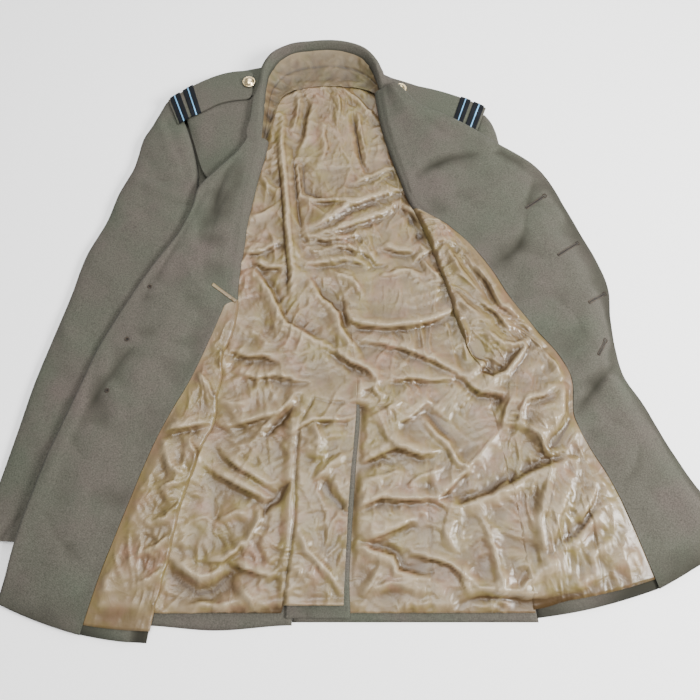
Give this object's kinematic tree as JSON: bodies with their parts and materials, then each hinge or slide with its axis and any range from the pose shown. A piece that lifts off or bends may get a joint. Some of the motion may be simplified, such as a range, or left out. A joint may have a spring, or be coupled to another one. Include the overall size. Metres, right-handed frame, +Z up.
{
  "type": "service dress jacket",
  "caption": "Stone-grey uniform jacket laid open on its back, satin lining crumpled, braided shoulder straps with domed gilt buttons, centre back vent.",
  "frame": {"origin": "on the flat underside of the back, a little to the right of the centre back seam and midway down the jacket", "axes": "+Z up out of the surface the jacket lies on, +Y towards the collar, -Y towards the hem, +X towards the wearer's left front"},
  "size_m": [0.833, 0.7615, 0.0335],
  "materials": {
    "wool_cloth": "matt stone-grey wool twill",
    "satin_lining": "crumpled champagne satin",
    "navy_braid": "ribbed braid with a pale blue line",
    "gilt": "bright gilt, plain dome",
    "worked_thread": "stitched thread"
  },
  "bodies": {
    "root": {"facing_left": "wool_cloth", "front_lining_left": "satin_lining", "front_left": "wool_cloth", "facing_right": "wool_cloth", "front_lining_right": "satin_lining", "front_right": "wool_cloth", "back_left": "wool_cloth", "back_right": "wool_cloth", "back_lining_left": "satin_lining", "back_lining_right": "satin_lining", "vent_flap": "wool_cloth", "shoulder_left": "wool_cloth", "shoulder_right": "wool_cloth", "strap_left": "wool_cloth", "braid_outer_left": "navy_braid", "braid_inner_left": "navy_braid", "strap_right": "wool_cloth", "braid_outer_right": "navy_braid", "braid_inner_right": "navy_braid", "button_left": "gilt", "button_right": "gilt", "collar": "wool_cloth", "neck_lining": "satin_lining", "sleeve_left": "wool_cloth", "sleeve_right": "wool_cloth", "buttonhole_1": "worked_thread", "buttonhole_2": "worked_thread", "buttonhole_3": "worked_thread", "lining_tape": "satin_lining"}
  },
  "joints": []
}
